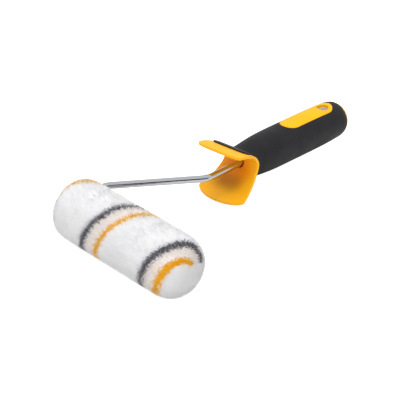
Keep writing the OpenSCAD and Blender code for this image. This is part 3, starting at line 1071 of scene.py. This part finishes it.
@dataclass
class Wire:
    """The bent wire, from the handle to the axle."""

    shelf: Shelf
    radius: float = 3.0
    handle_x: float = -25.0
    bend_y: float = 106.6
    slant: float = 35.0
    rear_r: float = 14.0
    arm_x: float = -72.8
    axle_start_x: float = -60.75
    axle_end_x: float = 44.0
    handle_end_y: float = 212.2
    sides: int = 40

    def build(self) -> None:
        """Draws the wire along its route with straight runs and bends."""
        turn = math.radians(self.slant)
        reach = self.rear_r * math.tan(turn / 2)
        arm_bend_y = self.bend_y - (self.handle_x - self.arm_x) / math.tan(turn)
        axle_r = self.axle_start_x - self.arm_x
        bm = bmesh.new()
        start = place(self.handle_x, self.handle_end_y, 0)
        tilt = Matrix.Rotation(math.radians(90), 4, "X")
        spot = Matrix.Translation(start) @ tilt
        ring = bmesh.ops.create_circle(
            bm, cap_ends=True, segments=self.sides, radius=self.radius * MM, matrix=spot
        )["verts"]
        edges = list({edge for vert in ring for edge in vert.link_edges})
        down = Vector((0, -1, 0))
        slanted = Vector((-math.sin(turn), -math.cos(turn), 0))
        edges = self.run(bm, edges, down * (self.handle_end_y - self.bend_y - reach))
        edges = self.bend(bm, edges, place(self.handle_x - self.rear_r, self.bend_y + reach, 0), -turn, 14)
        slant_length = (self.handle_x - self.arm_x) / math.sin(turn) - 2 * reach
        edges = self.run(bm, edges, slanted * slant_length)
        edges = self.bend(bm, edges, place(self.arm_x + self.rear_r, arm_bend_y - reach, 0), turn, 14)
        edges = self.run(bm, edges, down * (arm_bend_y - reach - axle_r))
        edges = self.bend(bm, edges, place(self.arm_x + axle_r, axle_r, 0), math.pi / 2, 26)
        edges = self.run(bm, edges, Vector((1, 0, 0)) * (self.axle_end_x - self.axle_start_x))
        bmesh.ops.holes_fill(bm, edges=edges, sides=self.sides + 1)
        self.ears(bm)
        bmesh.ops.recalc_face_normals(bm, faces=bm.faces)
        piece = finish_mesh(bm, "wire_frame", Body.FRAME)
        piece.data.set_sharp_from_angle(angle=math.radians(50))
        self.shelf.dress(piece, Slot.WIRE)
        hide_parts("frame_rod")

    def run(self, bm: Mesh, edges: list, step: Vector) -> list:
        """Extrudes the ring along a straight run.

        Args:
            bm: The wire's mesh.
            edges: The ring's edges.
            step: The run in millimetres.

        Returns:
            The edges of the new ring.
        """
        made = bmesh.ops.extrude_edge_only(bm, edges=edges)["geom"]
        bmesh.ops.translate(bm, verts=[g for g in made if isinstance(g, bmesh.types.BMVert)], vec=step * MM)
        return [g for g in made if isinstance(g, bmesh.types.BMEdge) and self.is_ring(g)]

    def is_ring(self, edge: bmesh.types.BMEdge) -> bool:
        """Whether an edge is on the open end of the wire."""
        return len(edge.link_faces) == 1

    def bend(self, bm: Mesh, edges: list, centre: Vector, angle: float, steps: int) -> list:
        """Spins the ring through a bend.

        Args:
            bm: The wire's mesh.
            edges: The ring's edges.
            centre: The middle of the bend.
            angle: The angle of the bend in radians.
            steps: Rings in the bend.

        Returns:
            The edges of the last ring.
        """
        verts = list({vert for edge in edges for vert in edge.verts})
        made = bmesh.ops.spin(bm, geom=verts + edges, cent=centre, axis=(0, 0, 1), angle=angle, steps=steps)
        return [g for g in made["geom_last"] if isinstance(g, bmesh.types.BMEdge)]

    def ears(self, bm: Mesh) -> None:
        """Adds the flattened ears that are held inside the handle.

        Args:
            bm: The wire's mesh.
        """
        cube = bmesh.ops.create_cube(bm, size=1.0)["verts"]
        bmesh.ops.scale(bm, verts=cube, vec=Vector((9.0, 10.0, 2.4)) * MM)
        bmesh.ops.translate(bm, verts=cube, vec=place(self.handle_x, self.handle_end_y - 11.0, 0))


# ---- The handle ----


@dataclass
class Handle:
    """The soft grip with its coloured panel and the cap in its butt."""

    shelf: Shelf
    handle_x: float = -25.0
    front_y: float = 147.2
    length: float = 117.6
    full_r: float = 17.0
    neck_r: float = 14.6
    neck_length: float = 34.0
    butt_length: float = 15.0
    cap_t: float = 7.0
    rear_thin: float = 2.0
    rear_start: float = 0.62
    panel_half: float = 8.4
    panel_front_y: float = 191.7
    panel_tip_y: float = 249.2
    panel_nose: float = 12.0
    panel_tip: float = 9.0
    panel_proud: float = 0.3
    panel_depth: float = 2.6
    hang_y: float = 240.7
    hang_r: float = 5.0
    steps: int = 128

    def radius(self, s: float) -> float:
        """Radius of the grip's outside.

        Args:
            s: Distance behind the grip's front, in millimetres.

        Returns:
            The radius in millimetres.
        """
        swell = self.full_r - (self.full_r - self.neck_r) * max(0.0, 1 - s / self.neck_length) ** 2
        rear = max(0.0, s / self.length - self.rear_start) / (1 - self.rear_start)
        butt = min(1.0, max(0.0, s - (self.length - self.butt_length)) / self.butt_length)
        return (swell - self.rear_thin * rear**2) * (1 - butt**2.4) ** (1 / 2.2)

    def outline(self, start: float, finish: float, count: int) -> list[tuple[float, float]]:
        """Points of the side of the handle, closing up towards the butt.

        Args:
            start: First distance behind the grip's front.
            finish: Last distance.
            count: Steps between them.

        Returns:
            The distance and radius of each point.
        """
        spread = [math.sin(math.pi / 2 * i / count) for i in range(count + 1)]
        return [(start + (finish - start) * k, self.radius(start + (finish - start) * k)) for k in spread]

    def spun(self, points: list[tuple[float, float]]) -> Mesh:
        """Spins distance and radius pairs about the handle's axis.

        Args:
            points: Distances behind the grip's front, with radii.

        Returns:
            The spun surface.
        """
        bm = bmesh.new()
        outline = [place(self.handle_x, self.front_y + s, r) for s, r in points]
        revolve(bm, outline, place(self.handle_x, 0, 0), Vector((0, 1, 0)), self.steps)
        return bm

    def build(self, guard: "Guard") -> None:
        """Builds the grip, the panel and the cap.

        Args:
            guard: The guard that the grip's front follows.
        """
        self.grip(guard)
        self.panel()
        self.cap()

    def grip(self, guard: "Guard") -> None:
        """The rubber grip, with its pocket and its hole.

        Args:
            guard: The guard that the grip's front follows.
        """
        seat = self.length - self.cap_t
        edge = self.radius(seat)
        points = [(-9.0, self.neck_r * i / 12) for i in range(13)] + [(0.0, self.neck_r)]
        points += self.outline(1.5, seat - 0.7, 54)
        points += [(seat - 0.25, edge), (seat, edge - 0.35), (seat, edge - 0.9)]
        points += [(seat - 0.8, edge - 1.2), (seat - 0.8, 0.0)]
        bm = self.spun(points)
        for vert in bm.verts:
            local = (vert.co - AXIS) / MM
            if local.y < self.front_y - 5:
                vert.co.y = place(0, guard.wall_y(local.x, local.z), 0).y
        piece = finish_mesh(bm, "soft_grip", Body.FRAME)
        cut(piece, self.oval_column(0.25, 12.6))
        cut(piece, self.hole_column(self.hang_r + 0.35))
        soften(piece, 0.3, 2, 50)
        self.shelf.dress(piece, Slot.GRIP)
        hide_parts("grip_sleeve")

    def oval(self, bm: Mesh, grow: float, z: float) -> list:
        """Adds the panel's plan outline as a ring of edges.

        Args:
            bm: The mesh that receives it.
            grow: How much larger all round, in millimetres.
            z: Its height.

        Returns:
            The ring's points.
        """
        verts = bmesh.ops.create_circle(bm, cap_ends=False, segments=self.steps, radius=1.0)["verts"]
        half = self.panel_half + grow
        for vert in verts:
            x, y = vert.co.x, vert.co.y
            base, round_end = self.panel_tip_y - self.panel_tip, self.panel_tip + grow
            if y < 0:
                base, round_end = self.panel_front_y + self.panel_nose, self.panel_nose + grow
            vert.co = place(self.handle_x + half * x, base + round_end * y, z)
        return verts

    def hole_ring(self, bm: Mesh, radius: float, z: float) -> list:
        """Adds the hanging hole's outline as a ring of edges.

        Args:
            bm: The mesh that receives it.
            radius: Its radius.
            z: Its height.

        Returns:
            The ring's points.
        """
        spot = Matrix.Translation(place(self.handle_x, self.hang_y, z))
        size = radius * MM
        made = bmesh.ops.create_circle(bm, cap_ends=False, segments=self.steps, radius=size, matrix=spot)
        return made["verts"]

    def column(self, bm: Mesh, verts: list, height: float) -> Mesh:
        """Closes a ring and raises it into a solid column.

        Args:
            bm: The mesh with the ring.
            verts: The ring's points.
            height: Height of the column in millimetres.

        Returns:
            The same mesh.
        """
        edges = list({edge for vert in verts for edge in vert.link_edges})
        face = bmesh.ops.contextual_create(bm, geom=edges)["faces"]
        top = bmesh.ops.extrude_face_region(bm, geom=face, use_keep_orig=True)["geom"]
        raised = [g for g in top if isinstance(g, bmesh.types.BMVert)]
        bmesh.ops.translate(bm, verts=raised, vec=(0, 0, height * MM))
        return bm

    def oval_column(self, grow: float, z: float) -> Mesh:
        """The solid that cuts the panel's pocket, upward from a height."""
        bm = bmesh.new()
        return self.column(bm, self.oval(bm, grow, z), 12.0)

    def hole_column(self, radius: float) -> Mesh:
        """The solid that cuts the hanging hole."""
        bm = bmesh.new()
        return self.column(bm, self.hole_ring(bm, radius, -25.0), 50.0)

    def panel(self) -> None:
        """The panel: a web from the hole's edge to the oval, laid on the grip and given its thickness."""
        bm = bmesh.new()
        inner = self.hole_ring(bm, self.hang_r, 0)
        outer = self.oval(bm, 0.0, 0)
        rings = list({edge for vert in inner + outer for edge in vert.link_edges})
        spokes = bmesh.ops.bridge_loops(bm, edges=rings)["edges"]
        bmesh.ops.subdivide_edges(bm, edges=spokes, cuts=22, use_grid_fill=True)
        for vert in bm.verts:
            local = (vert.co - AXIS) / MM
            across = local.x - self.handle_x
            r = self.radius(local.y - self.front_y) + self.panel_proud
            ring = math.hypot(across, local.y - self.hang_y) - self.hang_r
            dish = 0.7 * max(0.0, 1 - ring / 1.8) ** 2
            vert.co.z = place(0, 0, math.sqrt(r * r - across * across) - dish).z
        bmesh.ops.recalc_face_normals(bm, faces=bm.faces)
        if sum(face.normal.z for face in bm.faces) < 0:
            bmesh.ops.reverse_faces(bm, faces=bm.faces)
        made = bmesh.ops.extrude_face_region(bm, geom=list(bm.faces), use_keep_orig=True)["geom"]
        lower = [g for g in made if isinstance(g, bmesh.types.BMVert)]
        bmesh.ops.translate(bm, verts=lower, vec=(0, 0, -self.panel_depth * MM))
        bmesh.ops.recalc_face_normals(bm, faces=bm.faces)
        piece = finish_mesh(bm, "top_panel_moulding", Body.FRAME)
        soften(piece, 0.45, 3, 50)
        self.shelf.dress(piece, Slot.ORANGE)
        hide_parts("top_panel")

    def cap(self) -> None:
        """The coloured cap in the butt, with a shallow dish in its middle."""
        seat = self.length - self.cap_t
        edge = self.radius(seat)
        points = [(seat - 0.6, 0.0), (seat - 0.6, edge - 0.9)]
        points += [(seat + 0.1, edge - 0.8), (seat + 0.3, edge - 0.35)]
        for i in range(1, 25):
            k = math.sin(math.pi / 2 * i / 24)
            s = seat + 0.5 + (self.cap_t - 0.55) * k
            r = self.radius(s)
            dish = 0.5 * max(0.0, 1 - r / 7.0) ** 1.5
            points.append((s - dish, max(0.0, r - 0.1 * (1 - k))))
        points.append((points[-1][0], 0.0))
        piece = finish_mesh(self.spun(points), "butt_cap_moulding", Body.FRAME)
        piece.data.set_sharp_from_angle(angle=math.radians(50))
        self.shelf.dress(piece, Slot.ORANGE)
        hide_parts("butt_cap")


# ---- The guard ----


@dataclass(frozen=True)
class Lip:
    """One half of the guard's side profile and of its plan."""

    height: float
    reach: float
    half: float
    nose: float
    power: float
    front_power: float


@dataclass
class Guard:
    """The splash guard, a bowed shell with an upper and a lower lip, and its soft pad."""

    shelf: Shelf
    handle_x: float = -25.0
    face_y: float = 145.0
    wall: float = 2.2
    waist_w: float = 3.0
    half_waist: float = 19.2
    flare: float = 0.6
    roll: float = 6.0
    upper: Lip = Lip(18.3, 25.8, 25.2, 6.0, 1.8, 4.0)
    lower: Lip = Lip(-20.4, 32.8, 27.0, 10.0, 1.5, 1.8)
    hole_r: float = 3.8
    pad_t: float = 1.4
    pad_reach: float = 13.0
    pad_trim: float = 4.0
    pad_low: float = 12.5
    columns: int = 72
    rows: int = 110

    def profile(self, t: float) -> np.ndarray:
        """Closely spaced points of the side profile, from the upper lip's front to the lower one's.

        Args:
            t: Offset out from the hollow face, in millimetres.

        Returns:
            One row a point: forward and height.
        """
        a = np.linspace(0, math.pi / 2, 400)
        halves = []
        for lip, sign in ((self.upper, 1.0), (self.lower, -1.0)):
            rise = abs(lip.height - self.waist_w) + t
            forward = -t + (lip.reach + t) * (1 - np.cos(a).clip(0) ** (2 / lip.power))
            height = self.waist_w + sign * rise * np.sin(a) ** (2 / lip.power)
            halves.append(np.stack([forward, height], axis=1))
        return np.concatenate([halves[0][::-1], halves[1][1:]])

    def half_width(self, height: np.ndarray) -> np.ndarray:
        """Half the guard's width at a height: narrow at the waist and wider towards both lips.

        Args:
            height: Heights from the wire, in millimetres.

        Returns:
            The half widths.
        """
        above, below = self.upper.height - self.waist_w, self.waist_w - self.lower.height
        k = (height - self.waist_w) / np.where(height > self.waist_w, above, below)
        ends = np.where(height > self.waist_w, self.upper.half, self.lower.half)
        return self.half_waist + (ends - self.half_waist) * np.minimum(1.0, k**2)

    def front(self, lip: Lip, share: float, reach: float) -> float:
        """How far forward a lip reaches at a share of its half width.

        Args:
            lip: The lip.
            share: Distance across, as a share of the half width.
            reach: The lip's reach at its middle.

        Returns:
            The forward reach in millimetres.
        """
        across = min(1.0, share * lip.half / (lip.half + self.flare))
        return reach - lip.nose + lip.nose * (1 - across**lip.front_power) ** (1 / lip.front_power)

    def world(self, across: float, forward: float, height: float) -> Vector:
        """A point of the guard, in the frame.

        Args:
            across: Distance across the guard.
            forward: Distance in front of its hollow face.
            height: Distance above the wire.

        Returns:
            The point in metres.
        """
        turn = math.radians(self.roll)
        x = across * math.cos(turn) - height * math.sin(turn)
        z = across * math.sin(turn) + height * math.cos(turn)
        return place(self.handle_x + x, self.face_y - forward, z)

    def wall_y(self, x: float, z: float) -> float:
        """Where the middle of the guard's wall lies behind or before a point of the grip's front.

        Args:
            x: Distance along the roller axis.
            z: Height above the wire.

        Returns:
            The distance towards the handle, in millimetres.
        """
        turn = math.radians(self.roll)
        height = z * math.cos(turn) - (x - self.handle_x) * math.sin(turn)
        curve = self.profile(self.wall * 0.55)[::-1]
        return self.face_y - float(np.interp(height, curve[:, 1], curve[:, 0]))

    def sheet(
        self, t: float, ends: Callable[[float], tuple[float, float]], trim: float, name: str
    ) -> Object:
        """A grid laid on the side profile, between a front and a back end in every column.

        Args:
            t: Offset of the sheet out from the hollow face.
            ends: For a share of the half width, where the column starts and stops along the profile.
            trim: How much narrower than the guard.
            name: The piece's name.

        Returns:
            The new piece, one sheet thick.
        """
        curve = self.profile(t)
        length = run_length(curve)
        bm = bmesh.new()
        bmesh.ops.create_grid(bm, x_segments=self.columns, y_segments=self.rows, size=1.0)
        for vert in bm.verts:
            share, along = vert.co.x, (vert.co.y + 1) / 2
            start, stop = ends(abs(share))
            at = start + (stop - start) * along
            forward = float(np.interp(at, length, curve[:, 0]))
            height = float(np.interp(at, length, curve[:, 1]))
            half = float(self.half_width(np.array(height))) - trim
            vert.co = self.world(share * half, forward, height)
        bmesh.ops.recalc_face_normals(bm, faces=bm.faces)
        return finish_mesh(bm, name, Body.FRAME)

    def column_ends(self, t: float) -> Callable[[float], tuple[float, float]]:
        """The ends of the guard's columns along the profile.

        Args:
            t: Offset of the sheet.

        Returns:
            A function from the share of the half width to the start and the end.
        """
        curve = self.profile(t)
        length = run_length(curve)
        middle = int(np.argmin(curve[:, 0]))

        def ends(share: float) -> tuple[float, float]:
            """Where a column starts and stops along the profile.

            Args:
                share: Distance across, as a share of the half width.

            Returns:
                The start and the end, in millimetres.
            """
            top = self.front(self.upper, share, self.upper.reach)
            low = self.front(self.lower, share, self.lower.reach)
            start = float(np.interp(-top, -curve[: middle + 1, 0], length[: middle + 1]))
            stop = float(np.interp(low, curve[middle:, 0], length[middle:]))
            return start, stop

        return ends

    def build(self) -> None:
        """Builds the shell and the pad."""
        piece = self.sheet(self.wall / 2, self.column_ends(self.wall / 2), 0.0, "splash_guard")
        thicken(piece, self.wall)
        bm = bmesh.new()
        tilt = Matrix.Rotation(math.radians(90), 4, "X")
        spot = Matrix.Translation(place(self.handle_x, self.face_y, 0)) @ tilt
        size = self.hole_r * MM
        bmesh.ops.create_cone(
            bm, cap_ends=True, segments=48, radius1=size, radius2=size, depth=0.03, matrix=spot
        )
        cut(piece, bm)
        soften(piece, 0.8, 4, 45)
        self.shelf.dress(piece, Slot.ORANGE)
        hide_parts("front_guard")
        self.pad()

    def pad(self) -> None:
        """The soft pad over the rear of the upper lip."""
        t = self.wall + self.pad_t / 2
        curve = self.profile(t)
        length = run_length(curve)
        middle = int(np.argmin(curve[:, 0]))
        heights, runs = curve[: middle + 1, 1][::-1], length[: middle + 1][::-1]

        def ends(share: float) -> tuple[float, float]:
            """Where a column of the pad starts and stops along the profile.

            Args:
                share: Distance across, as a share of the half width.

            Returns:
                The start and the end, in millimetres.
            """
            front = self.front(self.upper, share, self.pad_reach)
            start = float(np.interp(-front, -curve[: middle + 1, 0], length[: middle + 1]))
            return start, float(np.interp(self.pad_low, heights, runs))

        piece = self.sheet(t, ends, self.pad_trim, "guard_soft_pad")
        thicken(piece, self.pad_t)
        soften(piece, 0.45, 3, 45)
        self.shelf.dress(piece, Slot.GRIP)
        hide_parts("guard_pad")


# ---- Light, floor and camera ----


@dataclass
class Studio:
    """A pale floor, soft lights and the camera."""

    azimuth: float = 47.05
    elevation: float = 31.51
    distance: float = 1500.0
    lens: float = 173.96
    target: Triple = (24.75, 51.93, 24.59)

    def build(self) -> None:
        """Sets the stage."""
        self.camera()
        self.floor()
        self.sky()
        self.lights()
        bpy.context.scene.view_settings.view_transform = "Standard"

    def camera(self) -> None:
        """Places the camera on its line of sight."""
        a, e = math.radians(self.azimuth), math.radians(self.elevation)
        back = Vector((math.sin(a) * math.cos(e), -math.cos(a) * math.cos(e), math.sin(e)))
        data = bpy.data.cameras.new("camera")
        data.lens = self.lens
        data.sensor_width = 36.0
        data.clip_start, data.clip_end = 0.05, 20.0
        camera = bpy.data.objects.new("camera", data)
        camera.location = place(*self.target) + back * self.distance * MM
        camera.rotation_euler = (math.radians(90) - e, 0, a)
        bpy.context.scene.collection.objects.link(camera)
        bpy.context.scene.camera = camera

    def floor(self) -> None:
        """Lays a pale floor."""
        bm = bmesh.new()
        bmesh.ops.create_grid(bm, x_segments=1, y_segments=1, size=6.0)
        mesh = bpy.data.meshes.new("floor")
        bm.to_mesh(mesh)
        bm.free()
        floor = bpy.data.objects.new("floor", mesh)
        floor.location = (0, 0, -0.0005)
        bpy.context.scene.collection.objects.link(floor)
        material = bpy.data.materials.new("floor")
        material.use_nodes = True
        graph = Graph(material.node_tree)
        shader = material.node_tree.nodes["Principled BSDF"]
        seen = graph.add("ShaderNodeLightPath").outputs["Is Camera Ray"]
        tone = graph.mix(seen, (0.7, 0.7, 0.7, 1), (0.6, 0.6, 0.6, 1))
        graph.tree.links.new(tone, shader.inputs["Base Color"])
        graph.tree.links.new(graph.math("MULTIPLY", seen, 0.82), shader.inputs["Emission Strength"])
        shader.inputs["Roughness"].default_value = 0.9
        shader.inputs["Specular IOR Level"].default_value = 0.0
        shader.inputs["Emission Color"].default_value = (1, 1, 1, 1)
        mesh.materials.append(material)

    def sky(self) -> None:
        """An evenly bright room."""
        world = bpy.data.worlds.new("room")
        world.use_nodes = True
        bpy.context.scene.world = world
        background = next(node for node in world.node_tree.nodes if node.type == "BACKGROUND")
        background.inputs["Color"].default_value = (1.0, 1.0, 1.0, 1)
        background.inputs["Strength"].default_value = 0.76

    def card(
        self, name: str, azimuth: float, elevation: float, width: float, height: float, level: float
    ) -> None:
        """Stands a plain card in the room that only shows in reflections.

        Args:
            name: The card's name.
            azimuth: Its bearing, as the camera's.
            elevation: Its height above the roller, in degrees.
            width: Its width in metres.
            height: Its height in metres.
            level: Its brightness.
        """
        a, e = math.radians(azimuth), math.radians(elevation)
        away = Vector((math.sin(a) * math.cos(e), -math.cos(a) * math.cos(e), math.sin(e)))
        bm = bmesh.new()
        bmesh.ops.create_grid(bm, x_segments=1, y_segments=1, size=0.5)
        bmesh.ops.scale(bm, verts=bm.verts, vec=(width, height, 1))
        mesh = bpy.data.meshes.new(name)
        bm.to_mesh(mesh)
        bm.free()
        card = bpy.data.objects.new(name, mesh)
        card.location = place(*self.target) + away * 2.4
        card.rotation_euler = (math.radians(90) - e, 0, a)
        card.visible_diffuse = card.visible_shadow = card.visible_camera = False
        bpy.context.scene.collection.objects.link(card)
        material = bpy.data.materials.new(name)
        material.use_nodes = True
        shader = material.node_tree.nodes["Principled BSDF"]
        shader.inputs["Base Color"].default_value = (0, 0, 0, 1)
        shader.inputs["Specular IOR Level"].default_value = 0.0
        shader.inputs["Emission Color"].default_value = (1, 1, 1, 1)
        shader.inputs["Emission Strength"].default_value = level
        mesh.materials.append(material)

    def lights(self) -> None:
        """Hangs a wide light above, one at the closed end and a low one in front."""
        self.card("dark_card", self.azimuth, 27.0, 5.0, 1.5, 0.03)
        self.area("top", (-100, 250, 1400), 1100, 13.0)
        self.area("near_end", (1300, -500, 500), 900, 6.0)
        self.area("front_low", (-100, -1150, 90), 500, 5.5)

    def area(self, name: str, spot: Triple, size: float, power: float) -> None:
        """Hangs a square light that faces the roller.

        Args:
            name: The light's name.
            spot: Its place in millimetres from the middle of the roller.
            size: Its side in millimetres.
            power: Its power in watts.
        """
        data = bpy.data.lights.new(name, "AREA")
        data.size = size * MM
        data.energy = power
        light = bpy.data.objects.new(name, data)
        light.visible_glossy = False
        light.location = place(*spot)
        aim = place(-20, 80, 0) - light.location
        light.rotation_euler = aim.to_track_quat("-Z", "Y").to_euler()
        bpy.context.scene.collection.objects.link(light)


def main() -> None:
    """Builds the roller, piece by piece, and its stage."""
    logging.basicConfig(level=logging.INFO, format="%(message)s")
    shelf = Shelf()
    shelf.dress_frame()
    Sleeve(shelf).build()
    Wire(shelf).build()
    guard = Guard(shelf)
    guard.build()
    Handle(shelf).build(guard)
    Studio().build()


if __name__ == "__main__":
    main()
